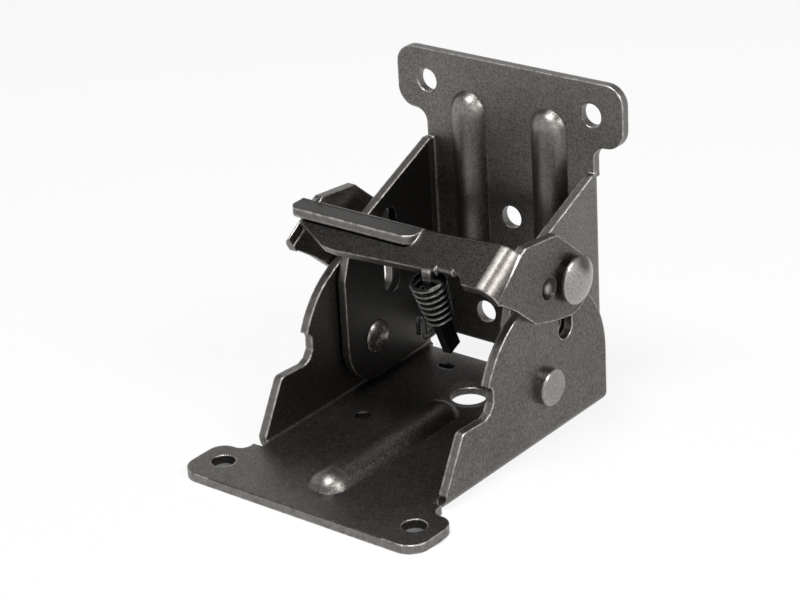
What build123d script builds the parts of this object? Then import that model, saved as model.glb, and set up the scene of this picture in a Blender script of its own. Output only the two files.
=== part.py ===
"""Folding shelf bracket: two folded sheet channels that lock at right angles or folded flat.

Millimetres. X runs across the bracket, +Y from the front ears to the leg, +Z up. The origin is
midway between the two ear holes of the base, on its underside. The leg stands upright, and the
lock pin is lifted clear of its notches, as it is while the leg is turned.
"""
from build123d import *
import os
from math import cos, radians, sin

# ---- Driving dimensions -------------------------------------------------------------------
SHEET = 2.0                 # thickness of all three folded sheets
BEND_OUTER = 2.6            # outer radius of the channel bends
CHANNEL_WIDTH = 50.0        # base channel, outside its cheeks
LEG_PLAY = 0.5              # gap between a cheek and the leg flange beside it
LEVER_PLAY = 0.5            # gap between a cheek and the lever arm beside it
CUT_OVER = 1.0              # how far a cutter runs past the face it opens
TOUCH = 0.01                # two places this near are the same corner

PIVOT_Y = 47.0
PIVOT_Z = 13.0
CAM_RADIUS = 21.8           # round top edge of the cheeks, about the pivot

RUNNING = 0.05              # radial clearance of a turning fit
SLIDING = 0.10              # clearance each side of a sliding fit
NOTCH_PLAY = 0.15           # radial play of the pin in its notches and above the cam edge
HEAD_GAP = 0.10             # axial gap under a rivet or pin head

# Lock pin: a thick middle guided by the leg, and thin ends that drop into the notches.
PIN_Y = 53.2
PIN_MIDDLE_RADIUS = 2.4
PIN_END_RADIUS = 1.75
PIN_TRAVEL = 2.2
PIN_COLLAR_RADIUS = 3.2
PIN_COLLAR = 1.1
PIN_HEAD_RADIUS = 5.2
PIN_HEAD_RIM = 0.7
PIN_HEAD_DOME = 1.7

# Base plate, with ears at its front.
EAR_REACH = 6.3             # how far an ear stands out past its cheek
EAR_FRONT = -7.6
EAR_REAR = 6.0
EAR_CORNER = 4.6
EAR_REAR_CORNER = 0.57      # of the ear's reach
EAR_FILLET = 0.38           # of the ear's reach
EAR_HOLE_INSET = 6.0        # from the ear's end
SCREW_RADIUS = 2.6
PLATE_SHORT = 1.3           # the plate stops this far before the cheeks' rear edge
CHEEK_FRONT = 11.2
RELIEF_LENGTH = 1.8
RELIEF_DEPTH = 2.4
BASE_RIB = (0.0, 45.5)      # front and rear end of the rib
RIB_HALF = 4.65
RIB_HEIGHT = 3.0
TOOL_HOLE_Y = 52.3
TOOL_HOLE_RADIUS = 4.0
TOOL_DISH_RADIUS = 6.4
TOOL_DISH_DEPTH = 0.5
PILOT_X = 13.5
PILOT_Y = 32.0
PILOT_RADIUS = 1.7
TAB_SLOT = (12.6, 60.9, 4.0, 2.4)   # centre x, centre y, length, width

# Cheeks, seen from the side as (y, z).
CHEEK_FOOT = (CHEEK_FRONT, SHEET + 1.2)
CHEEK_KNEE = (-8.7, -4.6)   # the next four are measured from the front notch's centre
CHEEK_SHELF = (-1.1, -4.9)
NOTCH_LIP = (0.6, -4.2)
NOTCH_WALL = (1.8, -2.4)
KNEE_ROUND = 1.6
CHEEK_WINDOW = (54.1, 21.1, 29.0, 2.5)   # y, lowest z, highest z, radius
REAR_CORNER = 1.6

# Leg plate and its flanges.
LEG_FACE_Y = 70.3
LEG_TOP = 72.4
LEG_BOTTOM = 5.6
LEG_NECK_HALF = 22.0
LEG_EAR_REACH = 7.5         # how far an ear stands out past the neck
LEG_EAR_HEIGHT = 14.1
LEG_EAR_CORNER = 0.31       # of the ear's height
NECK_FILLET = 0.4           # of the ear's reach
LEG_EAR_HOLE = (8.0, 7.3)   # from the ear's end and from its top
LEG_MIDDLE_HOLE_Z = 37.4
LEG_LOW_HOLE = (8.0, 12.8)
LEG_RIB_X = 10.6
LEG_RIB_HALF = 4.5
LEG_RIB_FOOT = 27.0
LEG_RIB_DROP = 8.0          # from the top of the plate to the ribs' upper end
NOSE_RADIUS = 9.7           # lower front edge of the flanges, about the pivot
FLANGE_EDGE = ((37.3, 29.8), (39.3, 35.6), (46.2, 42.2))
FLANGE_REAR_Y = 69.0
FLANGE_CLEARANCE = 6.2      # from the flanges' top corner up to the ears
FLANGE_FOOT = ((72.3, 5.6), (58.0, 4.2))
PIN_SLOT_LOW = 21.5
PIN_SLOT_HIGH = 41.4

# Release lever: a strap with two arms. Its web lies in a plane that rises to the rear.
WEB_LOW = (25.5, 43.5)
WEB_PITCH = 32.1            # degrees above level
WEB_LENGTH = 11.1
WEB_LIP_LENGTH = 9.7        # the web is shorter where the lip folds back
STRAP_BEND = 4.0
ARM_EDGE_TOP = ((36.1, 47.6), (37.7, 48.4), (41.0, 48.1), (48.6, 47.4))
ARM_EDGE_LOW = ((46.7, 28.7), (40.3, 30.5), (34.2, 35.7))
ARM_END = (53.4, 34.4)
ARM_END_RADIUS = 6.8
ARM_END_TOP_ANGLE = 49.0
ARM_END_LOW_ANGLE = -103.0
DIMPLE = (45.2, 36.6)
DIMPLE_RADIUS = 2.5
DIMPLE_DEPTH = 1.0
DIMPLE_BOSS = 0.25
LIP_X = (-28.2, 4.2)
LIP_FRONT = 29.4
LIP_TOP = 48.7
LIP_ROUND = 2.4
SCALLOP = ((-28.5, 5.7), (-26.4, 5.1), (-16.3, 0.3), (-13.0, 0.0))
WEB_NOTCH = ((12.3, 1.4), (12.3, 2.9), (16.4, 2.9), (18.9, 1.5), (20.0, 0.0))
TONGUE_X = (9.2, 11.2)
TONGUE_ROOT = (28.3, 43.9)
TONGUE_KNEE = (30.0, 33.2)
TONGUE_END = (34.1, 23.6)
TONGUE_WIDTH = 3.6

# Pivot rivets.
RIVET_RADIUS = 2.5
RIVET_HEAD_RADIUS = 4.05
RIVET_HEAD = 1.9
RIVET_HEAD_EDGE = 0.35
RIVET_TAIL_RADIUS = 3.9
RIVET_TAIL = 1.5

# Return spring, round the lever's tongue.
WIRE_RADIUS = 0.5
WIRE_SIDES = 6              # the wire's section is a polygon, which keeps the coil light
COIL_TOP_RADIUS = 3.6
COIL_TAPER = 5.9            # degrees
COIL_PITCH = 1.65
COIL_TURNS = 6.75
COIL_TOP = (27.2, 41.7)
COIL_LEAN = 18.7            # degrees, the foot of the coil towards the leg
TAIL_X = (5.4, 7.0)
TAIL_Y = 29.4
TAIL_Z = (27.0, 31.2)
TAIL_BEND = 0.75

# ---- Worked out ---------------------------------------------------------------------------
CHEEK_OUT = CHANNEL_WIDTH / 2
CHEEK_REAR = PIVOT_Y + CAM_RADIUS
EAR_HALF = CHEEK_OUT + EAR_REACH
LEG_EAR_HALF = LEG_NECK_HALF + LEG_EAR_REACH
LEG_EAR_BOTTOM = LEG_TOP - LEG_EAR_HEIGHT
FLANGE_TOP = LEG_EAR_BOTTOM - FLANGE_CLEARANCE
CHEEK_IN = CHEEK_OUT - SHEET
FLANGE_OUT = CHEEK_IN - LEG_PLAY
FLANGE_IN = FLANGE_OUT - SHEET
ARM_IN = CHEEK_OUT + LEVER_PLAY
ARM_OUT = ARM_IN + SHEET
BEND_INNER = BEND_OUTER - SHEET
LEG_BACK_Y = LEG_FACE_Y + SHEET
NOTCH_RADIUS = PIN_END_RADIUS + NOTCH_PLAY
PIN_Z = PIVOT_Z + ((CAM_RADIUS + NOTCH_RADIUS) ** 2 - (PIN_Y - PIVOT_Y) ** 2) ** 0.5
LOCK_Z = PIN_Z - PIN_TRAVEL
FOLDED_NOTCH = (PIVOT_Y - (LOCK_Z - PIVOT_Z), PIVOT_Z + (PIN_Y - PIVOT_Y))
ALONG = (cos(radians(WEB_PITCH)), sin(radians(WEB_PITCH)))
UP = (-ALONG[1], ALONG[0])


# ---- Helpers ------------------------------------------------------------------------------
def side_plate(sketch, x_from, x_to):
    """A flat plate whose outline is a (y, z) sketch, between two x positions."""
    plane = Plane(origin=(x_from, 0, 0), x_dir=(0, 1, 0), z_dir=(1, 0, 0))
    return extrude(plane * sketch, amount=x_to - x_from)


def back_plate(sketch, y_front, thickness):
    """A plate whose outline is an (x, z) sketch, from its front face towards +Y."""
    plane = Plane(origin=(0, y_front + thickness, 0), x_dir=(1, 0, 0), z_dir=(0, -1, 0))
    return extrude(plane * sketch, amount=thickness)


def outline(points):
    """A filled polygon."""
    return make_face(Polyline(*points, close=True))


def at(x, y, sketch):
    """The sketch moved to a place in its own plane."""
    return Pos(x, y) * sketch


def round_corner(sketch, x, y, radius):
    """The sketch with its corners at (x, y) and (-x, y) rounded."""
    corners = [v for v in sketch.vertices() if abs(abs(v.X) - x) < TOUCH and abs(v.Y - y) < TOUCH]
    return fillet(corners, radius)


def bar(low, high):
    """A box between two opposite corners."""
    size = [b - a for a, b in zip(low, high)]
    return Pos(*low) * Box(*size, align=(Align.MIN, Align.MIN, Align.MIN))


def both_sides(shape):
    """The shape and its mirror image across the middle plane."""
    return shape + mirror(shape, about=Plane.YZ)


def drill(x, y, z, axis, radius, length):
    """A round cutter centred on a point."""
    turn = {"x": (0, 90, 0), "y": (90, 0, 0), "z": (0, 0, 0)}[axis]
    return Pos(x, y, z) * Rot(*turn) * Cylinder(radius, length)


def channel_section(half, depth, outer):
    """A U section: web along the bottom, walls rising to depth, rounded at both bends."""
    shell = at(0, depth / 2, Rectangle(2 * half, depth))
    shell = fillet(shell.vertices().group_by(Axis.Y)[0], outer)
    hollow = at(0, SHEET + depth / 2, Rectangle(2 * (half - SHEET), depth))
    hollow = fillet(hollow.vertices().group_by(Axis.Y)[0], outer - SHEET)
    return shell - hollow


def pressed_rib(half, height, run):
    """A round-backed rib along +Y on a plate whose outer face is z = sheet, and its groove.

    Returns the raised solid and the cutter for the groove, both with spherical ends.
    """
    radius = (half ** 2 + height ** 2) / (2 * height)
    centre = SHEET + height - radius

    def capsule(size):
        length = run[1] - run[0] - 2 * half + 2 * size
        stadium = Rot(0, 0, 90) * SlotOverall(length, 2 * size) & at(size, 0, Rectangle(2 * size, length))
        return Pos(0, (run[0] + run[1]) / 2, centre) * revolve(stadium, axis=Axis.Y)

    above = bar((-radius, run[0] - radius, SHEET / 2), (radius, run[1] + radius, SHEET + height))
    return capsule(radius) & above, capsule(radius - SHEET)


# ---- Base bracket -------------------------------------------------------------------------
def ear_outline():
    """Plan of the front ears and the neck behind them."""
    ears = at(0, (EAR_FRONT + EAR_REAR) / 2, Rectangle(2 * EAR_HALF, EAR_REAR - EAR_FRONT))
    ears = fillet(ears.vertices().group_by(Axis.Y)[0], EAR_CORNER)
    ears = fillet(ears.vertices().group_by(Axis.Y)[-1], EAR_REAR_CORNER * EAR_REACH)
    neck = at(0, CHEEK_FRONT / 2, Rectangle(CHANNEL_WIDTH, CHEEK_FRONT))
    return round_corner(ears + neck, CHEEK_OUT, EAR_REAR, EAR_FILLET * EAR_REACH)


def cheek_outline():
    """Side view of a cheek: ramp, shelf, front notch, round cam edge and top notch."""
    y, z = FOLDED_NOTCH
    knee, shelf, lip, wall = [(y + step[0], z + step[1]) for step in (CHEEK_KNEE, CHEEK_SHELF, NOTCH_LIP, NOTCH_WALL)]
    body = outline([
        (CHEEK_FRONT, 0),
        CHEEK_FOOT,
        knee,
        shelf,
        (PIVOT_Y, shelf[1]),
        (PIVOT_Y, PIVOT_Z),
        (CHEEK_REAR, PIVOT_Z),
        (CHEEK_REAR, 0),
    ])
    body = round_corner(body, *knee, KNEE_ROUND)
    body = round_corner(body, CHEEK_REAR, 0, REAR_CORNER)
    above_base = at(PIVOT_Y, CAM_RADIUS, Rectangle(2 * CAM_RADIUS, 2 * CAM_RADIUS))
    side = body + (at(PIVOT_Y, PIVOT_Z, Circle(CAM_RADIUS)) & above_base)
    front_seat = at(y, z, Circle(NOTCH_RADIUS))
    front_mouth = outline([
        shelf,
        lip,
        wall,
        (y + NOTCH_RADIUS, z),
        (y, z + NOTCH_RADIUS),
        (shelf[0] - CUT_OVER, z + NOTCH_RADIUS),
        (shelf[0] - CUT_OVER, shelf[1]),
    ])
    top_seat = at(PIN_Y, LOCK_Z, Circle(NOTCH_RADIUS))
    top_mouth = at(PIN_Y, LOCK_Z + NOTCH_RADIUS, Rectangle(2 * NOTCH_RADIUS, 2 * NOTCH_RADIUS))
    y, low, high, radius = CHEEK_WINDOW
    window = at(y, (low + high) / 2, Rot(0, 0, 90) * SlotOverall(high - low, 2 * radius))
    return side - front_seat - front_mouth - top_seat - top_mouth - window


def base_bracket():
    """One folded sheet: eared plate, two cheeks, a long rib and its holes."""
    section = channel_section(CHEEK_OUT, PIVOT_Z + CAM_RADIUS, BEND_OUTER)
    plane = Plane(origin=(0, CHEEK_FRONT, 0), x_dir=(1, 0, 0), z_dir=(0, -1, 0))
    channel = extrude(plane * section, amount=-(CHEEK_REAR - CHEEK_FRONT))
    channel = channel & side_plate(cheek_outline(), -CHEEK_OUT, CHEEK_OUT)
    ears = extrude(ear_outline(), amount=SHEET)
    shape = channel + ears
    floor_half = CHEEK_IN - BEND_INNER
    behind = bar((-floor_half, CHEEK_REAR - PLATE_SHORT, 0), (floor_half, CHEEK_REAR, SHEET))
    relief = bar((CHEEK_OUT - RELIEF_DEPTH, CHEEK_FRONT - RELIEF_LENGTH, 0),
                 (CHEEK_OUT, CHEEK_FRONT, 2 * SHEET))
    shape = shape - behind - both_sides(relief)
    rib, groove = pressed_rib(RIB_HALF, RIB_HEIGHT, BASE_RIB)
    shape = shape + rib - groove
    holes = both_sides(drill(EAR_HALF - EAR_HOLE_INSET, 0, SHEET / 2, "z", SCREW_RADIUS, 2 * SHEET))
    holes += both_sides(drill(PILOT_X, PILOT_Y, SHEET / 2, "z", PILOT_RADIUS, 2 * SHEET))
    holes += drill(0, TOOL_HOLE_Y, SHEET / 2, "z", TOOL_HOLE_RADIUS, 2 * SHEET)
    dish = Cone(TOOL_HOLE_RADIUS, TOOL_DISH_RADIUS, TOOL_DISH_DEPTH)
    holes += Pos(0, TOOL_HOLE_Y, SHEET - TOOL_DISH_DEPTH / 2) * dish
    x, y, length, width = TAB_SLOT
    slot = Pos(x, y, -CUT_OVER) * extrude(SlotOverall(length, width), amount=2 * SHEET)
    holes += both_sides(slot)
    wall = CHEEK_OUT - SHEET / 2
    holes += both_sides(drill(wall, PIVOT_Y, PIVOT_Z, "x", RIVET_RADIUS, 2 * SHEET))
    return shape - holes


# ---- Leg bracket --------------------------------------------------------------------------
def leg_plate_outline():
    """Front view of the upright plate above the bends: neck and ears."""
    ears = at(0, (LEG_EAR_BOTTOM + LEG_TOP) / 2, Rectangle(2 * LEG_EAR_HALF, LEG_TOP - LEG_EAR_BOTTOM))
    ears = fillet(ears.vertices(), LEG_EAR_CORNER * LEG_EAR_HEIGHT)
    low = FLANGE_TOP - CUT_OVER
    neck = at(0, (low + LEG_TOP) / 2, Rectangle(2 * LEG_NECK_HALF, LEG_TOP - low))
    return round_corner(ears + neck, LEG_NECK_HALF, LEG_EAR_BOTTOM, NECK_FILLET * LEG_EAR_REACH)


def flange_outline():
    """Side view of a leg flange, with the guide slot of the lock pin."""
    edge = [(PIVOT_Y - NOSE_RADIUS, PIVOT_Z), *FLANGE_EDGE]
    edge += [(FLANGE_REAR_Y, FLANGE_TOP), (LEG_BACK_Y, FLANGE_TOP)]
    foot = [*FLANGE_FOOT, (PIVOT_Y, PIVOT_Z - NOSE_RADIUS)]
    side = outline(edge + foot) + at(PIVOT_Y, PIVOT_Z, Circle(NOSE_RADIUS))
    width = 2 * (PIN_MIDDLE_RADIUS + SLIDING)
    middle = (PIN_SLOT_LOW + PIN_SLOT_HIGH) / 2
    slot = at(PIN_Y, middle, Rot(0, 0, 90) * SlotOverall(PIN_SLOT_HIGH - PIN_SLOT_LOW, width))
    return side - slot


def leg_bracket():
    """One folded sheet: upright plate with ears and ribs, and two flanges inside the cheeks."""
    height = FLANGE_TOP
    depth = LEG_BACK_Y - (PIVOT_Y - NOSE_RADIUS)
    section = channel_section(FLANGE_OUT, depth, BEND_OUTER)
    plane = Plane(origin=(0, LEG_BACK_Y, 0), x_dir=(-1, 0, 0), z_dir=(0, 0, 1))
    channel = extrude(plane * section, amount=height)
    channel = channel & side_plate(flange_outline(), -FLANGE_OUT, FLANGE_OUT)
    shape = channel + back_plate(leg_plate_outline(), LEG_FACE_Y, SHEET)
    rib, groove = pressed_rib(LEG_RIB_HALF, RIB_HEIGHT, (LEG_RIB_FOOT, LEG_TOP - LEG_RIB_DROP))
    upright = Pos(LEG_RIB_X, LEG_BACK_Y, 0) * Rot(90, 0, 0)
    shape = shape + both_sides(upright * rib) - both_sides(upright * groove)
    middle = LEG_BACK_Y - SHEET / 2
    ear_x = LEG_EAR_HALF - LEG_EAR_HOLE[0]
    ear_z = LEG_TOP - LEG_EAR_HOLE[1]
    holes = both_sides(drill(ear_x, middle, ear_z, "y", SCREW_RADIUS, 2 * SHEET))
    holes += both_sides(drill(LEG_LOW_HOLE[0], middle, LEG_LOW_HOLE[1], "y", SCREW_RADIUS, 2 * SHEET))
    holes += drill(0, middle, LEG_MIDDLE_HOLE_Z, "y", SCREW_RADIUS, 2 * SHEET)
    wall = FLANGE_OUT - SHEET / 2
    holes += both_sides(drill(wall, PIVOT_Y, PIVOT_Z, "x", RIVET_RADIUS + RUNNING, 2 * SHEET))
    return shape - holes


# ---- Release lever ------------------------------------------------------------------------
def web_plane(along):
    """Plane across the strap at a distance from the web's lower edge; its y points inwards."""
    y = WEB_LOW[0] + ALONG[0] * along
    z = WEB_LOW[1] + ALONG[1] * along
    return Plane(origin=(0, y, z), x_dir=(1, 0, 0), z_dir=(0, ALONG[0], ALONG[1]))


def web_cutter(points):
    """A cutter through the web only, from a plan of (x, distance along the web) points."""
    top = Plane(origin=(0, WEB_LOW[0], WEB_LOW[1]), x_dir=(1, 0, 0), z_dir=(0, UP[0], UP[1]))
    above = extrude(top * outline(points), amount=SHEET / 2)
    return above + extrude(top * outline(points), amount=-SHEET - SHEET / 2)


def rolled_edge(left, right, along):
    """The round back of a fold across the web, half a sheet under its face."""
    y = WEB_LOW[0] + ALONG[0] * along - UP[0] * SHEET / 2
    z = WEB_LOW[1] + ALONG[1] * along - UP[1] * SHEET / 2
    return Pos((left + right) / 2, y, z) * Rot(0, 90, 0) * Cylinder(SHEET / 2, right - left)


def arm_outline():
    """Side view of a lever arm behind the strap's bend."""
    def on_end(angle):
        y = ARM_END[0] + ARM_END_RADIUS * cos(radians(angle))
        z = ARM_END[1] + ARM_END_RADIUS * sin(radians(angle))
        return (y, z)

    start = (WEB_LOW[0] - UP[0] * STRAP_BEND, WEB_LOW[1] - UP[1] * STRAP_BEND)
    edge = [start, *ARM_EDGE_TOP, on_end(ARM_END_TOP_ANGLE), on_end(ARM_END_LOW_ANGLE), *ARM_EDGE_LOW]
    hole = at(PIN_Y, PIN_Z, Circle(PIN_END_RADIUS + RUNNING))
    return outline(edge) + at(*ARM_END, Circle(ARM_END_RADIUS)) - hole


def finger_lip():
    """The tab folded back over the web, with rounded front corners."""
    left, right = LIP_X
    rear = WEB_LOW[0] + ALONG[0] * WEB_LIP_LENGTH
    plan = at((left + right) / 2, (LIP_FRONT + rear) / 2, Rectangle(right - left, rear - LIP_FRONT))
    plan = fillet(plan.vertices().group_by(Axis.Y)[0], LIP_ROUND)
    tab = Pos(0, 0, LIP_TOP - SHEET) * extrude(plan, amount=SHEET)
    return tab + rolled_edge(left, right, WEB_LIP_LENGTH)


def tongue():
    """The strip folded down from the web, cranked at its knee and square at its free end."""
    strip = trace(Polyline(TONGUE_ROOT, TONGUE_KNEE, TONGUE_END), TONGUE_WIDTH)
    return side_plate(strip, *TONGUE_X)


def release_lever():
    """One folded strap: web, two arms, finger lip and spring tongue."""
    section = channel_section(ARM_OUT, STRAP_BEND + SHEET / 2, STRAP_BEND)
    strap = extrude(web_plane(0) * section, amount=WEB_LENGTH)
    arm = side_plate(arm_outline(), ARM_IN, ARM_OUT)
    boss = Pos(ARM_IN, *DIMPLE) * Rot(0, -90, 0) * dome(DIMPLE_RADIUS, DIMPLE_BOSS)
    cup = Pos(ARM_OUT, *DIMPLE) * Rot(0, -90, 0) * dome(DIMPLE_RADIUS, DIMPLE_DEPTH)
    arms = both_sides(arm + boss - cup)
    low_edge = [*SCALLOP, *WEB_NOTCH]
    below = web_cutter([*low_edge, (low_edge[-1][0], -CUT_OVER), (low_edge[0][0], -CUT_OVER)])
    shoulder = ARM_OUT - STRAP_BEND
    over = WEB_LENGTH + CUT_OVER
    above = web_cutter([(-shoulder, WEB_LIP_LENGTH), (LIP_X[1], WEB_LIP_LENGTH), (shoulder, WEB_LENGTH),
                        (shoulder, over), (-shoulder, over)])
    inside = bar((-ARM_IN, 0, 0), (ARM_IN, 2 * LEG_TOP, 2 * LEG_TOP))
    web = strap - (below & inside) - above
    notch_fold = rolled_edge(WEB_NOTCH[1][0], WEB_NOTCH[2][0], WEB_NOTCH[1][1])
    return web + arms + finger_lip() + notch_fold + tongue()


# ---- Pins and spring ----------------------------------------------------------------------
def dome(radius, height):
    """A spherical cap standing on z = 0."""
    sphere = (radius ** 2 + height ** 2) / (2 * height)
    cap = Pos(0, 0, height - sphere) * Sphere(sphere)
    return cap & Pos(0, 0, height) * Box(4 * radius, 4 * radius, 2 * height)


def lock_pin():
    """A stepped pin right across the bracket, with a domed head outside each lever arm."""
    to_right = Pos(0, PIN_Y, PIN_Z) * Rot(0, 90, 0)
    middle = Cylinder(PIN_MIDDLE_RADIUS, 2 * (CHEEK_IN - LEG_PLAY + HEAD_GAP))
    collar_at = ARM_OUT + HEAD_GAP
    rim_at = collar_at + PIN_COLLAR
    ends = Cylinder(PIN_END_RADIUS, 2 * (collar_at + PIN_COLLAR / 2))
    collar = Pos(0, 0, collar_at + PIN_COLLAR / 2) * Cylinder(PIN_COLLAR_RADIUS, PIN_COLLAR)
    rim = Pos(0, 0, rim_at + PIN_HEAD_RIM / 2) * Cylinder(PIN_HEAD_RADIUS, PIN_HEAD_RIM)
    cap = Pos(0, 0, rim_at + PIN_HEAD_RIM) * dome(PIN_HEAD_RADIUS, PIN_HEAD_DOME)
    head = collar + rim + cap
    return to_right * (middle + ends + head + mirror(head, about=Plane.XY))


def pivot_rivet():
    """The right-hand rivet: flat outer head, shank through cheek and flange, domed inner end."""
    to_right = Pos(0, PIVOT_Y, PIVOT_Z) * Rot(0, 90, 0)
    tail_at = FLANGE_IN - HEAD_GAP
    shank = Pos(0, 0, (tail_at + CHEEK_OUT) / 2) * Cylinder(RIVET_RADIUS, CHEEK_OUT - tail_at)
    head = Pos(0, 0, CHEEK_OUT + RIVET_HEAD / 2) * Cylinder(RIVET_HEAD_RADIUS, RIVET_HEAD)
    head = chamfer(head.edges().group_by(Axis.Z)[-1], RIVET_HEAD_EDGE)
    tail = Pos(0, 0, tail_at) * Rot(180, 0, 0) * dome(RIVET_TAIL_RADIUS, RIVET_TAIL)
    return to_right * (shank + head + tail)


def return_spring():
    """A tapered coil round the tongue, gripping it below, with an inner end and a looped tail."""
    lean = radians(COIL_LEAN)
    seat = Plane(origin=(sum(TONGUE_X) / 2, *COIL_TOP), x_dir=(1, 0, 0), z_dir=(0, sin(lean), -cos(lean)))
    height = COIL_PITCH * COIL_TURNS
    helix = Helix(pitch=COIL_PITCH, height=height, radius=COIL_TOP_RADIUS, cone_angle=-COIL_TAPER)
    wire = RegularPolygon(WIRE_RADIUS, WIRE_SIDES)
    coil = seat * sweep(Plane(origin=helix @ 0, z_dir=helix % 0) * wire, path=helix)
    reach = COIL_TOP_RADIUS - SHEET / 2
    inner = Pos(*(helix @ 0)) * Rot(0, -90, 0) * Pos(0, 0, reach / 2) * Cylinder(WIRE_RADIUS, reach)
    last = seat.from_local_coords(helix @ 1)
    low, high = TAIL_Z
    tail = FilletPolyline(
        last,
        (TAIL_X[1], TAIL_Y, low - WIRE_RADIUS),
        (TAIL_X[1], TAIL_Y, high),
        (TAIL_X[0], TAIL_Y, high),
        (TAIL_X[0], TAIL_Y, low),
        radius=TAIL_BEND,
    )
    hook = sweep(Plane(origin=tail @ 0, z_dir=tail % 0) * wire, path=tail)
    return coil + seat * inner + hook


def write(shape, name):
    """Write one node."""
    shape.label = name
    export_step(shape, f"parts/{name}.step")


os.makedirs("parts", exist_ok=True)
write(base_bracket(), "base_bracket")
write(leg_bracket(), "leg_bracket")
write(release_lever(), "release_lever")
write(lock_pin(), "lock_pin")
write(pivot_rivet(), "pivot_rivet_right")
write(mirror(pivot_rivet(), about=Plane.YZ), "pivot_rivet_left")
write(return_spring(), "return_spring")
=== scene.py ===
"""Folding shelf bracket: looks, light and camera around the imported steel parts."""

import bpy
import numpy as np
from mathutils import Matrix, Vector


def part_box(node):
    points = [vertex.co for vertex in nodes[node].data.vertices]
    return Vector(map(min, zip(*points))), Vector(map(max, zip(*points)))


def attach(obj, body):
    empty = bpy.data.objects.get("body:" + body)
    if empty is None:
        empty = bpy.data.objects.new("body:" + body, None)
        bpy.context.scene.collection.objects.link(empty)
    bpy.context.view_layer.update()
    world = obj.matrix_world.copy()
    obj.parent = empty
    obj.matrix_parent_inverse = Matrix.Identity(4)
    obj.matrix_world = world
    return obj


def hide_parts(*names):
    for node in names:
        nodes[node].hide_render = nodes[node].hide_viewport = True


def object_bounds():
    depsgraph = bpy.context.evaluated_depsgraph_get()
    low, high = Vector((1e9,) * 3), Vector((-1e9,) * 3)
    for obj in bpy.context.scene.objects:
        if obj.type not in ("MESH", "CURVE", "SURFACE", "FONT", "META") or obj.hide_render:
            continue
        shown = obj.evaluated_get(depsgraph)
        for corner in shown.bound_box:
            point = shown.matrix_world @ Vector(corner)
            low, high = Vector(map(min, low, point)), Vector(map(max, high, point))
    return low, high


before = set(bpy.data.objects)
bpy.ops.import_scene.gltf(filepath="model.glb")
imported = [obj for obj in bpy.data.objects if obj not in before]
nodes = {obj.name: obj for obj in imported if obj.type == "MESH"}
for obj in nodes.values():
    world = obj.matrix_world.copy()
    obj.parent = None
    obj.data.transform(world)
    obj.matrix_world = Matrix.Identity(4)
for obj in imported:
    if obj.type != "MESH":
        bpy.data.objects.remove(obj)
cad_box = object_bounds()


# Base bracket: one piece of 2 mm steel, stamped to an eared plate with a pressed
# rib and folded up to two cheeks, then blackened. Tumbling has rubbed its edges
# and bends silvery. The walls of the small holes and the foot of the rib are
# painted dark as painted shade. The rib's nose and the cheeks' inner arris are
# painted lighter, partly as rubbed wear and partly as painted highlights, and the
# front of the plate is painted lighter as painted light.
SHEET = 0.002
PLATING = ((0.070, 0.065, 0.060, 1), (0.160, 0.149, 0.139, 1))
# Lighter steel for rubbed wear and for painted highlights.
BARE_STEEL_AND_HIGHLIGHT = (0.62, 0.60, 0.57, 1)
SHEARED_STEEL = (0.19, 0.180, 0.171, 1)
# Near black for the pits, for painted shade and for the pin heads' darker patch.
NEAR_BLACK = (0.012, 0.012, 0.011, 1)

# Cycles per metre, detail and roughness of each 3-D noise in the finish.
CLOUDS = (70.0, 4.0, 0.6)
GRAIN = (2300.0, 2.0, 0.75)
SPECKS = (700.0, 3.0, 0.65)
PITS = (3600.0, 1.0, 0.5)

# Where each effect of the finish starts and is full, and how strong it is.
CLOUD_SHARE, GRAIN_SHARE = 0.2, 0.8
TONE_SPAN = (0.40, 0.60)
PIT_SPAN, PIT_DARKNESS = (0.66, 0.74), 0.25
CORNER_SPAN = (0.990, 0.88)
PATCH_SPAN = (0.28, 0.60)
STREAK_SPAN, STREAK_GRAIN = (0.35, 1.0), 0.5
# Patches of the high spots, which are painted lighter as rubbed wear and painted highlights.
WEAR_AND_HIGHLIGHT_SPAN = (0.20, 0.75)
# Painted shade: how far the creases' corners and the darkened places go to near black.
CREASE_SHADE_SHARE, DARKENED_SHARE = 0.7, 0.9
SHINE_SPREAD = 0.24
BUMP_GRAIN, BUMP_SPECKS = 0.6, 0.4
BUMP_STRENGTH, BUMP_DEPTH = 0.5, 0.00008
EDGE_REACH, EDGE_SAMPLES = 0.0006, 6

# Depths from a sheet's outer face: near, just short of and just past the inner
# face, and where a wall or a rib standing on the sheet begins.
INNER_NEAR = 0.9 * SHEET
INNER_SHORT = 0.99 * SHEET
INNER_PAST = 1.05 * SHEET
WALL_START = 1.3 * SHEET
RIB_START = 1.6 * SHEET
HALF_TURNED = 0.5
ARRIS = 0.0006
ARRIS_CORE = 0.3 * ARRIS

base_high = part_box("base_bracket")[1]
CHANNEL_HALF = 0.025
NECK_END = 0.0112
CORNER_REACH = 0.003
EAR_HOLE_X = base_high.x - 0.006
# Painted shade: the walls of the small holes are painted dark.
HOLE_REACH, HOLE_SHADE = 0.0034, 0.5
RIB_HALF = 0.005
# Painted lighter: the rib's nose and the cheeks' inner arris, partly rubbed wear and partly
# painted highlight; the front of the plate, painted light.
NOSE_END, NOSE_WEAR_AND_HIGHLIGHT = 0.0065, 0.26
FRONT_SPAN, FRONT_PAINTED_LIGHT = (0.018, -0.004), 0.10
CHEEK_WEAR_AND_HIGHLIGHT = 0.7
SHEET_ROUGHNESS, SHEET_WEAR = 0.38, 0.95

# Numbers of the colour sockets of Blender's Mix node.
MIX_FACTOR, MIX_FIRST, MIX_SECOND, MIX_RESULT = 0, 6, 7, 2


def link(tree, socket, value):
    """A plain value is written on the socket, another node's output is linked to it."""
    if isinstance(value, bpy.types.NodeSocket):
        tree.links.new(value, socket)
    else:
        socket.default_value = value


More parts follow.
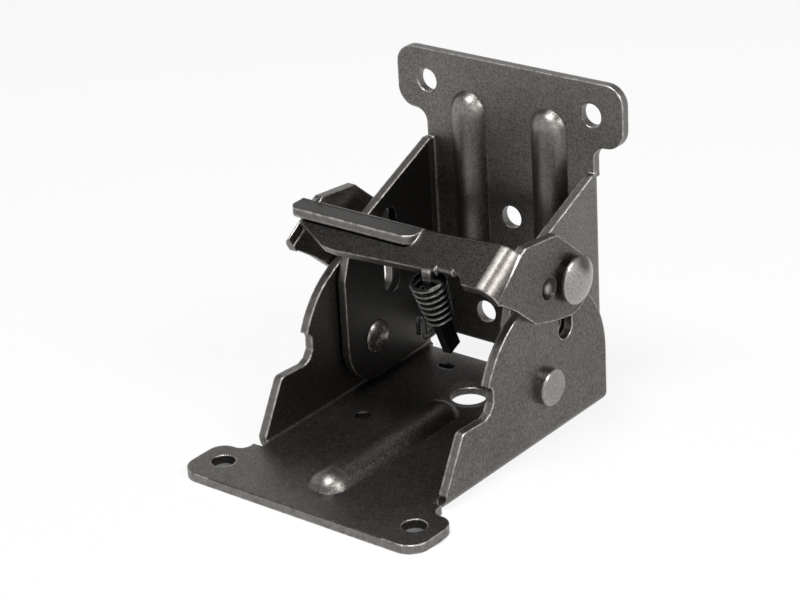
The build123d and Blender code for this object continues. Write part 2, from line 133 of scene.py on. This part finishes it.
def add_node(tree, kind, *numbered, **named):
    """One shader node; its inputs by number, or by name with _ for a space."""
    node = tree.nodes.new(kind)
    for number, value in enumerate(numbered):
        link(tree, node.inputs[number], value)
    for name, value in named.items():
        link(tree, node.inputs[name.replace("_", " ")], value)
    return node


def calculate(tree, operation, first, second=0.5):
    """One arithmetic step on two numbers; a step on one number leaves the second unread."""
    node = tree.nodes.new("ShaderNodeMath")
    node.operation = operation
    link(tree, node.inputs[0], first)
    link(tree, node.inputs[1], second)
    return node.outputs[0]


def product(tree, first, *others):
    """All the numbers multiplied together, from the left."""
    for other in others:
        first = calculate(tree, "MULTIPLY", first, other)
    return first


def total(tree, first, second):
    """The sum of two numbers."""
    return calculate(tree, "ADD", first, second)


def less(tree, first, second):
    """The first number less the second."""
    return calculate(tree, "SUBTRACT", first, second)


def project(tree, vector, direction):
    """The length of a vector along a direction."""
    node = add_node(tree, "ShaderNodeVectorMath", vector, direction)
    node.operation = "DOT_PRODUCT"
    return node.outputs["Value"]


def size_of(tree, number):
    """The number without its sign."""
    return calculate(tree, "ABSOLUTE", number)


def where(tree, *tests):
    """1 where every test holds: each is a number, '<' or '>', and a limit."""
    result = 1.0
    for number, sign, limit in tests:
        operation = "LESS_THAN" if sign == "<" else "GREATER_THAN"
        result = product(tree, result, calculate(tree, operation, number, limit))
    return result


def either(tree, *masks):
    """The largest of several masks."""
    result = 0.0
    for mask in masks:
        result = calculate(tree, "MAXIMUM", result, mask)
    return result


def weighted(tree, *masks):
    """The largest of several masks, each given with its share."""
    return either(tree, *(product(tree, mask, share) for mask, share in masks))


def noise(tree, place, scale, detail, rough):
    """A 3-D noise of the given cycles per metre."""
    node = add_node(tree, "ShaderNodeTexNoise", Vector=place, Scale=scale, Detail=detail,
                    Roughness=rough)
    return node.outputs["Fac"]


def ramp(tree, factor, low, high):
    """0 at low and 1 at high, straight between."""
    node = add_node(tree, "ShaderNodeMapRange", Value=factor, From_Min=low, From_Max=high)
    return node.outputs["Result"]


def arris_line(tree, number, edge, side):
    """1 at an edge, falling to 0 one arris away on the side given as 1 or -1."""
    return ramp(tree, number, edge + side * ARRIS, edge + side * ARRIS_CORE)


def blend_colour(tree, factor, first, second):
    """The first colour where factor is 0, the second where it is 1."""
    node = tree.nodes.new("ShaderNodeMix")
    node.data_type = "RGBA"
    for number, value in ((MIX_FACTOR, factor), (MIX_FIRST, first), (MIX_SECOND, second)):
        link(tree, node.inputs[number], value)
    return node.outputs[MIX_RESULT]


def place_and_facing(tree, coordinates):
    """x, y and z of the point, then the same three of its normal without their signs."""
    axes = np.eye(3).tolist()
    place = [project(tree, coordinates.outputs["Object"], axis) for axis in axes]
    normal = coordinates.outputs["Normal"]
    return place + [size_of(tree, project(tree, normal, axis)) for axis in axes]


def distance(tree, first, second):
    """The hypotenuse: the root of the sum of the squares of two legs."""
    squares = [product(tree, leg, leg) for leg in (first, second)]
    return calculate(tree, "SQRT", total(tree, *squares))


def blackened_steel(name, tones, roughness, wear, regions=None):
    """Blackened steel: clouded tone, fine grain, tiny pits and rubbed corners.

    regions gives four masks: sheared faces, which are greyer, inner creases,
    which aren't rubbed but painted dark at their corners as painted shade,
    darkened places, which are nearly black, painted shade except the pin heads'
    darker patch, and high spots, which are painted lighter, partly as rubbed wear
    and partly as painted highlights.
    """
    material = bpy.data.materials.new(name)
    material.use_nodes = True
    tree = material.node_tree
    tree.nodes.clear()
    coordinates = tree.nodes.new("ShaderNodeTexCoord")
    place = coordinates.outputs["Object"]
    clouds = noise(tree, place, *CLOUDS)
    grain = noise(tree, place, *GRAIN)
    specks = noise(tree, place, *SPECKS)
    pits = ramp(tree, noise(tree, place, *PITS), *PIT_SPAN)
    tone = total(tree, product(tree, clouds, CLOUD_SHARE), product(tree, grain, GRAIN_SHARE))
    colour = blend_colour(tree, ramp(tree, tone, *TONE_SPAN), *tones)
    colour = blend_colour(tree, product(tree, pits, PIT_DARKNESS), colour, NEAR_BLACK)
    rounded = add_node(tree, "ShaderNodeBevel", EDGE_REACH)
    rounded.samples = EDGE_SAMPLES
    facing = tree.nodes.new("ShaderNodeNewGeometry").outputs["Normal"]
    corner = ramp(tree, project(tree, rounded.outputs[0], facing), *CORNER_SPAN)
    rubbed = product(tree, corner, ramp(tree, specks, *PATCH_SPAN), wear)
    if regions:
        sheared, creased, darkened, high = regions(tree, coordinates)
        streaks = total(tree, specks, product(tree, grain, STREAK_GRAIN))
        streaks = ramp(tree, streaks, *STREAK_SPAN)
        colour = blend_colour(tree, product(tree, sheared, streaks), colour, SHEARED_STEEL)
        rubbed = product(tree, rubbed, less(tree, 1.0, either(tree, creased, darkened)))
        # Painted shade: the creases' corners and the darkened places go to near black.
        crease_shade = product(tree, creased, corner, CREASE_SHADE_SHARE)
        dark = either(tree, crease_shade, product(tree, darkened, DARKENED_SHARE))
        colour = blend_colour(tree, dark, colour, NEAR_BLACK)
        # Painted lighter: the high spots, partly rubbed wear and partly painted highlights.
        lightened = product(tree, high, ramp(tree, specks, *WEAR_AND_HIGHLIGHT_SPAN))
        rubbed = either(tree, rubbed, lightened)
    colour = blend_colour(tree, rubbed, colour, BARE_STEEL_AND_HIGHLIGHT)
    shine = total(tree, product(tree, grain, SHINE_SPREAD), roughness - SHINE_SPREAD / 2)
    height = total(tree, product(tree, grain, BUMP_GRAIN), product(tree, specks, BUMP_SPECKS))
    bump = add_node(tree, "ShaderNodeBump", Strength=BUMP_STRENGTH, Distance=BUMP_DEPTH,
                    Height=height, Normal=rounded.outputs[0])
    shader = add_node(tree, "ShaderNodeBsdfPrincipled", Base_Color=colour, Metallic=1.0,
                      Roughness=shine, Normal=bump.outputs[0])
    add_node(tree, "ShaderNodeOutputMaterial", shader.outputs[0])
    return material


def dress(name, material):
    """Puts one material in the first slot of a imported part."""
    slots = nodes[name].data.materials
    slots.clear()
    slots.append(material)


def base_regions(tree, coordinates):
    """Sheared: walls of plate and cheeks. Creased: foot of the rib, painted shade.
    Darkened: hole walls, painted shade.

    High: the rib's nose and the cheeks' inner arris, rubbed and partly painted
    highlights, and the front of the plate, painted light.
    """
    x, y, z, nx, ny, nz = place_and_facing(tree, coordinates)
    across = size_of(tree, x)
    cheek = where(tree, (z, ">", WALL_START), (across, ">", CHANNEL_HALF - INNER_PAST),
                  (nx, "<", HALF_TURNED))
    wall = where(tree, (z, "<", INNER_SHORT), (nz, "<", HALF_TURNED))
    free = either(tree, where(tree, (across, "<", CHANNEL_HALF - CORNER_REACH)),
                  where(tree, (y, "<", NECK_END)), where(tree, (ny, ">", HALF_TURNED)))
    from_hole = distance(tree, less(tree, across, EAR_HOLE_X), y)
    hole = either(tree, where(tree, (from_hole, "<", HOLE_REACH)),
                  where(tree, (across, "<", CHANNEL_HALF - CORNER_REACH),
                        (y, ">", NECK_END), (y, "<", base_high.y - SHEET)))
    hole = product(tree, hole, wall)
    rim = product(tree, wall, free, less(tree, 1.0, hole))
    crease = where(tree, (z, ">", INNER_NEAR), (z, "<", RIB_START),
                   (across, "<", CHANNEL_HALF - INNER_PAST), (from_hole, ">", HOLE_REACH))
    nose = where(tree, (z, ">", RIB_START), (across, "<", RIB_HALF), (y, "<", NOSE_END))
    arris = product(tree, cheek, arris_line(tree, across, CHANNEL_HALF - SHEET, 1))
    high = weighted(tree, (nose, NOSE_WEAR_AND_HIGHLIGHT), (ramp(tree, y, *FRONT_SPAN), FRONT_PAINTED_LIGHT),
                    (arris, CHEEK_WEAR_AND_HIGHLIGHT))
    return either(tree, cheek, rim), crease, product(tree, hole, HOLE_SHADE), high


base_finish = blackened_steel("base_blackened", PLATING, SHEET_ROUGHNESS, SHEET_WEAR,
                              base_regions)
dress("base_bracket", base_finish)


# Leg bracket: an upright eared plate with two pressed ribs, and a flange bent
# forward at each side, of blackened sheet like the base's, in lighter tones that
# are painted light brightening the upright. The lock pin's guide slots and the
# flanges' inner faces are painted near black as painted shade. The ribs' crowns,
# most of all their tops, and the flanges' inner arris are painted lighter, partly
# as rubbed wear and partly as painted highlights.
leg_low, leg_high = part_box("leg_bracket")
# Painted light: the base's tones made lighter, so that the upright plate looks brighter.
LEG_LIGHTENED_PLATING = ((0.105, 0.098, 0.092, 1), (0.195, 0.184, 0.173, 1))
FLANGE_HALF = 0.0225
FLANGE_TOP = 0.0521
FLANGE_SKIN = (0.9 * SHEET, 1.1 * SHEET)
FLANGE_START = 2 * SHEET
# Painted shade: the flanges' inner faces and the guide slots are painted dark.
INSIDE_SHADE = 0.75
SLOT_REACH = (0.0492, 0.0572)
SLOT_FLOOR, SLOT_TOP = leg_low.z + 4 * SHEET, 0.0425
CREASE_TOP = leg_high.z - 3 * SHEET
CROWN_SIDE = 1.5 * SHEET
# Painted lighter: the ribs' crowns, most at their tops, and the flanges' inner arris, partly
# rubbed wear and partly painted highlight.
CROWN_SPAN, CROWN_TOP_HIGHLIGHT, CROWN_WEAR_AND_HIGHLIGHT = (0.056, 0.062), 0.26, 0.05
FLANGE_WEAR_AND_HIGHLIGHT = 0.6


def leg_regions(tree, coordinates):
    """Sheared: walls of plate and flanges. Creased: foot of the ribs, painted shade.
    Darkened: slots, insides, painted shade.

    High: the crowns of the ribs, most of all their tops, and the flanges' inner arris,
    rubbed and partly painted highlights.
    """
    x, y, z, nx, ny, nz = place_and_facing(tree, coordinates)
    across = size_of(tree, x)
    edge = where(tree, (y, "<", leg_high.y - WALL_START),
                 (across, ">", FLANGE_HALF - INNER_PAST), (nx, "<", HALF_TURNED))
    slot = where(tree, (y, ">", SLOT_REACH[0]), (y, "<", SLOT_REACH[1]),
                 (z, "<", SLOT_TOP), (z, ">", SLOT_FLOOR))
    slot = product(tree, slot, edge)
    wall = where(tree, (y, ">", leg_high.y - INNER_SHORT), (ny, "<", HALF_TURNED))
    free = either(tree, where(tree, (across, "<", FLANGE_HALF - CORNER_REACH)),
                  where(tree, (z, ">", FLANGE_TOP)), where(tree, (nz, ">", HALF_TURNED)))
    crease = where(tree, (y, "<", leg_high.y - INNER_NEAR), (y, ">", leg_high.y - RIB_START),
                   (across, "<", FLANGE_HALF - INNER_PAST), (z, "<", CREASE_TOP))
    edge = less(tree, edge, slot)
    sheared = either(tree, edge, product(tree, wall, free))
    inside = where(tree, (across, "<", FLANGE_HALF - FLANGE_SKIN[0]),
                   (across, ">", FLANGE_HALF - FLANGE_SKIN[1]), (nx, ">", HALF_TURNED),
                   (y, "<", leg_high.y - FLANGE_START))
    crown = where(tree, (y, "<", leg_high.y - RIB_START),
                  (across, "<", FLANGE_HALF - CROWN_SIDE))
    crown_wear_and_highlight = total(tree, product(tree, ramp(tree, z, *CROWN_SPAN), CROWN_TOP_HIGHLIGHT),
                   CROWN_WEAR_AND_HIGHLIGHT)
    arris = product(tree, arris_line(tree, across, FLANGE_HALF - SHEET, 1), FLANGE_WEAR_AND_HIGHLIGHT)
    darkened = either(tree, slot, product(tree, inside, INSIDE_SHADE))
    high = either(tree, product(tree, crown, crown_wear_and_highlight), product(tree, edge, arris))
    return sheared, crease, darkened, high


leg_finish = blackened_steel("leg_blackened", LEG_LIGHTENED_PLATING, SHEET_ROUGHNESS, SHEET_WEAR,
                             leg_regions)
dress("leg_bracket", leg_finish)


# Release lever: one strap folded into a web and two arms, with a finger lip
# folded back over the web and a narrow tongue that holds the spring. The tongue,
# the web, the lip's top and a ring in each dimple are painted dark as painted
# shade; a spot in each dimple and the two edges of the lip's fold are painted
# highlights, and the bends are painted lighter, partly as rubbed wear and partly
# as a painted highlight.
LEVER_PLATING = ((0.062, 0.057, 0.053, 1), (0.145, 0.135, 0.126, 1))
LEVER_ROUGHNESS = 0.37
WEB_EDGE = (0.0, 0.0255, 0.0435)
WEB_RISE = (0.0, 0.8471, 0.5314)
WEB_OUT = (0.0, -0.5314, 0.8471)
WEB_SKIN = -0.1 * SHEET
# Painted shade: the web's outer face is painted dark.
WEB_SHADE = 0.70
STRAP_END = 0.55
STRAP_SIDE = 0.3
ARM_START = -2 * SHEET
ARM_HALF = 0.0275
ARM_SIDE = 0.2
# Painted lighter: the bends, partly rubbed wear and partly painted highlight.
BEND_START, BEND_SIDE, BEND_WEAR_AND_HIGHLIGHT = ARM_HALF - 2 * SHEET, 0.94, 0.12
# Painted shade: the tongue is painted near black.
TONGUE_SIDES = (0.0088, 0.0116)
TONGUE_START = -1.3 * SHEET
LIP_START = 0.0001
# Painted shade on the lip's top and painted highlights along the two edges of its fold.
LIP_LEVELS = (0.0467, 0.0487)
LIP_TOP_SHADE, LIP_EDGE_HIGHLIGHT = 0.70, 0.7
# Each arm's dimple: a ring painted dark as painted shade and a spot painted as a highlight.
DIMPLE = (0.0452, 0.0366)
DIMPLE_RADIUS = 0.0025
RING_START, RING_SHADE = 0.62 * DIMPLE_RADIUS, 0.75
SPOT = (DIMPLE[0] + 0.0006, DIMPLE[1] - 0.0004)
SPOT_SPAN, SPOT_HIGHLIGHT = (0.0013, 0.0004), 0.8


def lever_regions(tree, coordinates):
    """Sheared: ends of the strap, edges of arms and lip. Creased: nothing.

    Darkened as painted shade: the tongue, the web, the lip's top and the ring round
    each arm's dimple. High: the bends, rubbed and partly a painted highlight, and
    painted highlights on a spot in the dimple and the two edges of the lip's fold.
    """
    place = coordinates.outputs["Object"]
    x, y, z, nx, _, nz = place_and_facing(tree, coordinates)
    end_on = size_of(tree, project(tree, coordinates.outputs["Normal"], WEB_RISE))
    web_level = sum(a * b for a, b in zip(WEB_EDGE, WEB_OUT))
    proud = less(tree, project(tree, place, WEB_OUT), web_level)
    strap = where(tree, (proud, ">", ARM_START), (proud, "<", LIP_START),
                  (end_on, ">", STRAP_END))
    arm = where(tree, (proud, "<", ARM_START), (nx, "<", HALF_TURNED))
    lip = where(tree, (proud, ">", LIP_START), (nz, "<", HALF_TURNED))
    tongue = where(tree, (x, ">", TONGUE_SIDES[0]), (x, "<", TONGUE_SIDES[1]),
                   (proud, "<", TONGUE_START))
    sheared = product(tree, either(tree, strap, arm, lip), less(tree, 1.0, tongue))
    bend = where(tree, (size_of(tree, x), ">", BEND_START), (nx, "<", BEND_SIDE),
                 (proud, ">", ARM_START), (end_on, "<", STRAP_SIDE))
    web = where(tree, (end_on, "<", STRAP_SIDE), (nx, "<", STRAP_SIDE),
                (proud, ">", WEB_SKIN))
    lip_top = where(tree, (proud, ">", LIP_START), (nz, ">", HALF_TURNED))
    arm_side = where(tree, (proud, "<", ARM_START), (nx, ">", ARM_SIDE))
    rim = distance(tree, less(tree, y, DIMPLE[0]), less(tree, z, DIMPLE[1]))
    ring = where(tree, (rim, ">", RING_START), (rim, "<", DIMPLE_RADIUS))
    ring = product(tree, ring, arm_side)
    spot = distance(tree, less(tree, y, SPOT[0]), less(tree, z, SPOT[1]))
    spot = product(tree, ramp(tree, spot, *SPOT_SPAN), arm_side)
    painted_shade = weighted(tree, (web, WEB_SHADE), (lip_top, LIP_TOP_SHADE), (ring, RING_SHADE))
    rolled = either(tree, arris_line(tree, z, LIP_LEVELS[0], 1),
                    arris_line(tree, z, LIP_LEVELS[1], -1))
    high = weighted(tree, (bend, BEND_WEAR_AND_HIGHLIGHT), (spot, SPOT_HIGHLIGHT),
                    (product(tree, lip, rolled), LIP_EDGE_HIGHLIGHT))
    return sheared, 0.0, either(tree, tongue, painted_shade), high


lever_finish = blackened_steel("lever_blackened", LEVER_PLATING, LEVER_ROUGHNESS, SHEET_WEAR,
                               lever_regions)
dress("release_lever", lever_finish)


# Lock pin: a turned and cold-headed steel pin, blackened and rubbed lighter than
# the sheet, with a darker patch on the upper part of its heads.
PIN_TONES = ((0.26, 0.245, 0.232, 1), (0.40, 0.378, 0.358, 1))
PIN_ROUGHNESS, HEAD_WEAR = 0.32, 0.7
DARK_PATCH_PLACE = (0.0014, 0.0040)
DARK_PATCH_SPAN, DARK_PATCH_SHARE = (0.0032, 0.0012), 0.85
pin_low, pin_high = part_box("lock_pin")


def pin_regions(tree, coordinates):
    """Darkened: a round patch above and behind the middle of each head; no other region."""
    y, z = place_and_facing(tree, coordinates)[1:3]
    middle = [(low + high) / 2 for low, high in zip(pin_low, pin_high)]
    patch = distance(tree, less(tree, y, middle[1] + DARK_PATCH_PLACE[0]),
                     less(tree, z, middle[2] + DARK_PATCH_PLACE[1]))
    return 0.0, 0.0, product(tree, ramp(tree, patch, *DARK_PATCH_SPAN), DARK_PATCH_SHARE), 0.0


pin_finish = blackened_steel("pin_blackened", PIN_TONES, PIN_ROUGHNESS, HEAD_WEAR, pin_regions)
dress("lock_pin", pin_finish)


# Pivot rivets: cold-headed steel in the same black, set with a flat tool that
# has rubbed their heads lighter.
RIVET_TONES = ((0.19, 0.178, 0.168, 1), (0.32, 0.30, 0.285, 1))
RIVET_ROUGHNESS = 0.30
rivet_finish = blackened_steel("rivet_blackened", RIVET_TONES, RIVET_ROUGHNESS, HEAD_WEAR)
for part in ("pivot_rivet_right", "pivot_rivet_left"):
    dress(part, rivet_finish)


# Return spring: black music wire wound in a tapered coil round the lever's
# tongue. One end turns in to the tongue, the other is bent into a small hook.
WIRE_RADIUS = 0.00048
WIRE_AROUND = 14
WIRE_START_SIDE = (0.0, 0.6, 0.8)
WIRE_TONES = ((0.028, 0.027, 0.026, 1), (0.062, 0.060, 0.057, 1))
WIRE_ROUGHNESS, WIRE_WEAR = 0.24, 0.1
# Painted lighter: the outside of every turn, partly rubbed wear and partly painted highlight.
OUTSIDE_SPAN, OUTSIDE_WEAR_AND_HIGHLIGHT = (0.80, 0.97), 0.55
COIL_TOP = np.array([0.0102, 0.0272, 0.0417])
COIL_LEAN = np.radians(18.7)
COIL_DOWN = np.array([0, np.sin(COIL_LEAN), -np.cos(COIL_LEAN)])
COIL_RADII = (0.0036, 0.00245)
COIL_HEIGHT = 0.01114
COIL_TURNS, COIL_STEPS = 6.78, 271
INNER_END = (0.001, COIL_RADII[0] - 0.0005)
INNER_STEPS = 5
HOOK = ((0.0070, 0.0294, 0.0265), (0.0070, 0.0294, 0.0312),
        (0.0054, 0.0294, 0.0312), (0.0054, 0.0294, 0.0272))
HOOK_BEND, BEND_STEPS = 0.0008, 9


def coil_line():
    """A circle whose radius falls evenly while it moves down the leaning axis.

    One point for each step of the turn, after a short straight run from the tongue.
    """
    across = np.array([1.0, 0, 0])
    back = np.cross(COIL_DOWN, across)
    share = np.linspace(0, 1, COIL_STEPS)[:, None]
    turn = share * 2 * np.pi * COIL_TURNS
    radius = COIL_RADII[0] + share * (COIL_RADII[1] - COIL_RADII[0])
    inner = COIL_TOP + across * np.linspace(*INNER_END, INNER_STEPS)[:, None]
    around = np.cos(turn) * across + np.sin(turn) * back
    coil = COIL_TOP + radius * around + share * COIL_HEIGHT * COIL_DOWN
    return np.concatenate((inner, coil))


def bent_line(points, bend):
    """Straight runs between points, with each corner replaced by a parabola.

    The parabola starts and ends one bend away from the corner.
    """
    points = np.asarray(points, float)
    run = np.diff(points, axis=0)
    run /= np.linalg.norm(run, axis=1)[:, None]
    share = np.linspace(0, 1, BEND_STEPS)[None, :, None]
    corner = points[1:-1, None]
    start, end = corner - bend * run[:-1, None], corner + bend * run[1:, None]
    curve = (1 - share) ** 2 * start + 2 * share * (1 - share) * corner + share**2 * end
    return np.concatenate((points[:1], curve.reshape(-1, 3), points[-1:]))


def wire(name, line, centre, radius, around):
    """A circle of one radius carried square to a line, with a cap at each end.

    The circle's first point turns with the line. The attribute outward is 1 where
    the wire faces away from the centre points and -1 where it faces them.
    """
    along = np.gradient(line, axis=0)
    along /= np.linalg.norm(along, axis=1)[:, None]
    side = [np.cross(along[0], WIRE_START_SIDE)]
    for ahead in along[1:]:
        side.append(side[-1] - ahead * (side[-1] @ ahead))
        side[-1] /= np.linalg.norm(side[-1])
    side = np.array(side)
    side[0] /= np.linalg.norm(side[0])
    other = np.cross(along, side)
    turn = np.linspace(0, 2 * np.pi, around, endpoint=False)[None, :, None]
    circle = np.cos(turn) * side[:, None] + np.sin(turn) * other[:, None]
    ring = line[:, None] + radius * circle
    row, column = np.meshgrid(np.arange(len(line) - 1), np.arange(around), indexing="ij")
    first, after = row * around + column, row * around + (column + 1) % around
    walls = np.stack((first, after, after + around, first + around), -1).reshape(-1, 4)
    last = (len(line) - 1) * around
    caps = [list(range(around))[::-1], list(range(last, last + around))]
    mesh = bpy.data.meshes.new(name)
    mesh.from_pydata(ring.reshape(-1, 3).tolist(), [], walls.tolist() + caps)
    mesh.polygons.foreach_set("use_smooth", [True] * len(walls) + [False] * len(caps))
    away = line - centre
    away /= np.linalg.norm(away, axis=1)[:, None]
    outward = ((ring - line[:, None]) * away[:, None]).sum(-1) / radius
    attribute = mesh.attributes.new("outward", "FLOAT", "POINT")
    attribute.data.foreach_set("value", outward.ravel().astype(np.float32))
    piece = bpy.data.objects.new(name, mesh)
    bpy.context.scene.collection.objects.link(piece)
    return piece


def wire_regions(tree, coordinates):
    """High: the outside of every turn, rubbed and partly a painted highlight; no other region.
    """
    attribute = tree.nodes.new("ShaderNodeAttribute")
    attribute.attribute_name = "outward"
    outside = ramp(tree, attribute.outputs["Fac"], *OUTSIDE_SPAN)
    return 0.0, 0.0, 0.0, product(tree, outside, OUTSIDE_WEAR_AND_HIGHLIGHT)


coil = coil_line()
line = np.concatenate((coil, bent_line((coil[-1], *HOOK), HOOK_BEND)[1:]))
centre = COIL_TOP + ((line - COIL_TOP) @ COIL_DOWN)[:, None] * COIL_DOWN
spring = wire("spring_wire", line, centre, WIRE_RADIUS, WIRE_AROUND)
spring.data.materials.append(
    blackened_steel("spring_black", WIRE_TONES, WIRE_ROUGHNESS, WIRE_WEAR, wire_regions))
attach(spring, "lever")
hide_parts("return_spring")


# Floor: a round sheet of pale card that curves up into a low wall, white to the
# camera and to the metal's reflections, and keeps the bracket's shadow. Under the
# small holes, spots of painted shade are nearly black and don't glow.
FLOOR_RADIUS = 1.1
FLOOR_START = 0.25 * FLOOR_RADIUS
FLOOR_SIDES = 64
COVE_RADIUS, COVE_STEPS = 0.3, 13
WALL_HEIGHT = 1.0
CARD_TONES = ((0.58, 0.58, 0.58, 1), (0.62, 0.62, 0.62, 1))
CARD_FIBRE = (300.0, 3.0, 0.6)
CARD_ROUGHNESS = 0.9
# Painted shade: near-black spots on the card under the ear, pilot and tab holes.
SHADE_CARD = (0.08, 0.08, 0.08, 1)
SHADE_SPOTS = ((EAR_HOLE_X, 0.0, 0.0068), (0.0135, 0.0320, 0.0055), (0.0126, 0.0609, 0.0055))
SHADE_FADE = 0.001
WHITE = (1, 1, 1, 1)
GLOW_SHARE = 0.85


def floor_card():
    """Flat, a quarter circle, then upright: a profile carried round the middle.

    The profile is the distance from the middle and the height at each step.
    """
    bend = np.linspace(0, np.pi / 2, COVE_STEPS)
    away = np.concatenate(([FLOOR_START], FLOOR_RADIUS + COVE_RADIUS * np.sin(bend),
                           [FLOOR_RADIUS + COVE_RADIUS]))
    high = np.concatenate(([0.0], COVE_RADIUS * (1 - np.cos(bend)), [WALL_HEIGHT]))
    turn = np.linspace(0, 2 * np.pi, FLOOR_SIDES, endpoint=False)[None]
    grid = np.stack(np.broadcast_arrays(away[:, None] * np.cos(turn),
                                        away[:, None] * np.sin(turn), high[:, None]), -1)
    row, column = np.meshgrid(np.arange(len(away) - 1), np.arange(FLOOR_SIDES),
                              indexing="ij")
    first = row * FLOOR_SIDES + column
    after = row * FLOOR_SIDES + (column + 1) % FLOOR_SIDES
    faces = np.stack((first, first + FLOOR_SIDES, after + FLOOR_SIDES, after), -1)
    faces = faces.reshape(-1, 4).tolist() + [list(range(FLOOR_SIDES))]
    mesh = bpy.data.meshes.new("floor")
    mesh.from_pydata(grid.reshape(-1, 3).tolist(), [], faces)
    mesh.polygons.foreach_set("use_smooth", [True] * len(faces))
    return bpy.data.objects.new("floor", mesh)


def card_white():
    """Pale card, white to the camera and to glossy rays; the painted shade spots under the
    holes are nearly black and don't glow.
    """
    material = bpy.data.materials.new("card_white")
    material.use_nodes = True
    tree = material.node_tree
    tree.nodes.clear()
    place = tree.nodes.new("ShaderNodeTexCoord").outputs["Object"]
    fibre = noise(tree, place, *CARD_FIBRE)
    paper = blend_colour(tree, fibre, *CARD_TONES)
    x, y = (project(tree, place, axis) for axis in np.eye(3).tolist()[:2])
    bright = 1.0
    for hole_x, hole_y, reach in SHADE_SPOTS:
        spot = distance(tree, less(tree, size_of(tree, x), hole_x), less(tree, y, hole_y))
        bright = product(tree, bright, ramp(tree, spot, reach - SHADE_FADE, reach))
    paper = blend_colour(tree, bright, SHADE_CARD, paper)
    card = add_node(tree, "ShaderNodeBsdfPrincipled", Base_Color=paper,
                    Roughness=CARD_ROUGHNESS)
    glow = add_node(tree, "ShaderNodeEmission", Color=WHITE, Strength=1.0)
    ray = tree.nodes.new("ShaderNodeLightPath")
    seen = either(tree, ray.outputs["Is Camera Ray"], ray.outputs["Is Glossy Ray"])
    mix = add_node(tree, "ShaderNodeMixShader", product(tree, seen, bright, GLOW_SHARE),
                   card.outputs[0], glow.outputs[0])
    add_node(tree, "ShaderNodeOutputMaterial", mix.outputs[0])
    return material


card = floor_card()
card.data.materials.append(card_white())
bpy.context.scene.collection.objects.link(card)


# Light: a small bright soft box nearly overhead, a second one on the right, a
# weak one beside the camera, and a dim even sky that is white only to the camera.
LAMPS = {
    "lamp_overhead": ((-0.02, -0.14, 0.64), 0.22, 4.4),
    "lamp_right": ((0.62, 0.02, 0.55), 0.30, 5.0),
    "lamp_front": ((0.42, -0.50, 0.38), 0.18, 0.5),
}
SKY = 0.15


def soft_lamp(name, place, size, power):
    """A square area lamp at place, facing the middle of the bracket."""
    data = bpy.data.lights.new(name, "AREA")
    data.size = size
    data.energy = power
    lamp = bpy.data.objects.new(name, data)
    lamp.location = place
    middle = (Vector(cad_box[0]) + Vector(cad_box[1])) / 2
    lamp.rotation_euler = (middle - Vector(place)).to_track_quat("-Z", "Y").to_euler()
    bpy.context.scene.collection.objects.link(lamp)


def sky(strength):
    """An even grey sky, white where the camera looks straight at it."""
    world = bpy.data.worlds.new("studio")
    world.use_nodes = True
    tree = world.node_tree
    tree.nodes.clear()
    seen = tree.nodes.new("ShaderNodeLightPath").outputs["Is Camera Ray"]
    light = add_node(tree, "ShaderNodeBackground", WHITE,
                     calculate(tree, "MAXIMUM", seen, strength))
    add_node(tree, "ShaderNodeOutputWorld", light.outputs[0])
    return world


for name, (place, size, power) in LAMPS.items():
    soft_lamp(name, place, size, power)
bpy.context.scene.world = sky(SKY)


# Camera: a long lens half a metre off, above the right front corner.
CAMERA_PLACE = (0.31326, -0.35189, 0.25982)
CAMERA_RIGHT = (0.787378, 0.614272, -0.052012)
CAMERA_UP = (-0.219365, 0.358030, 0.907576)
CAMERA_BACK = (0.576120, -0.703196, 0.416654)
LENS = 118.0
CLIP_START = 0.01
camera = bpy.data.objects.new("camera", bpy.data.cameras.new("camera"))
camera.data.lens = LENS
camera.data.clip_start = CLIP_START
turned = Matrix((CAMERA_RIGHT, CAMERA_UP, CAMERA_BACK)).transposed().to_4x4()
camera.matrix_world = Matrix.Translation(CAMERA_PLACE) @ turned
bpy.context.scene.collection.objects.link(camera)
bpy.context.scene.camera = camera
bpy.context.scene.view_settings.view_transform = "Standard"
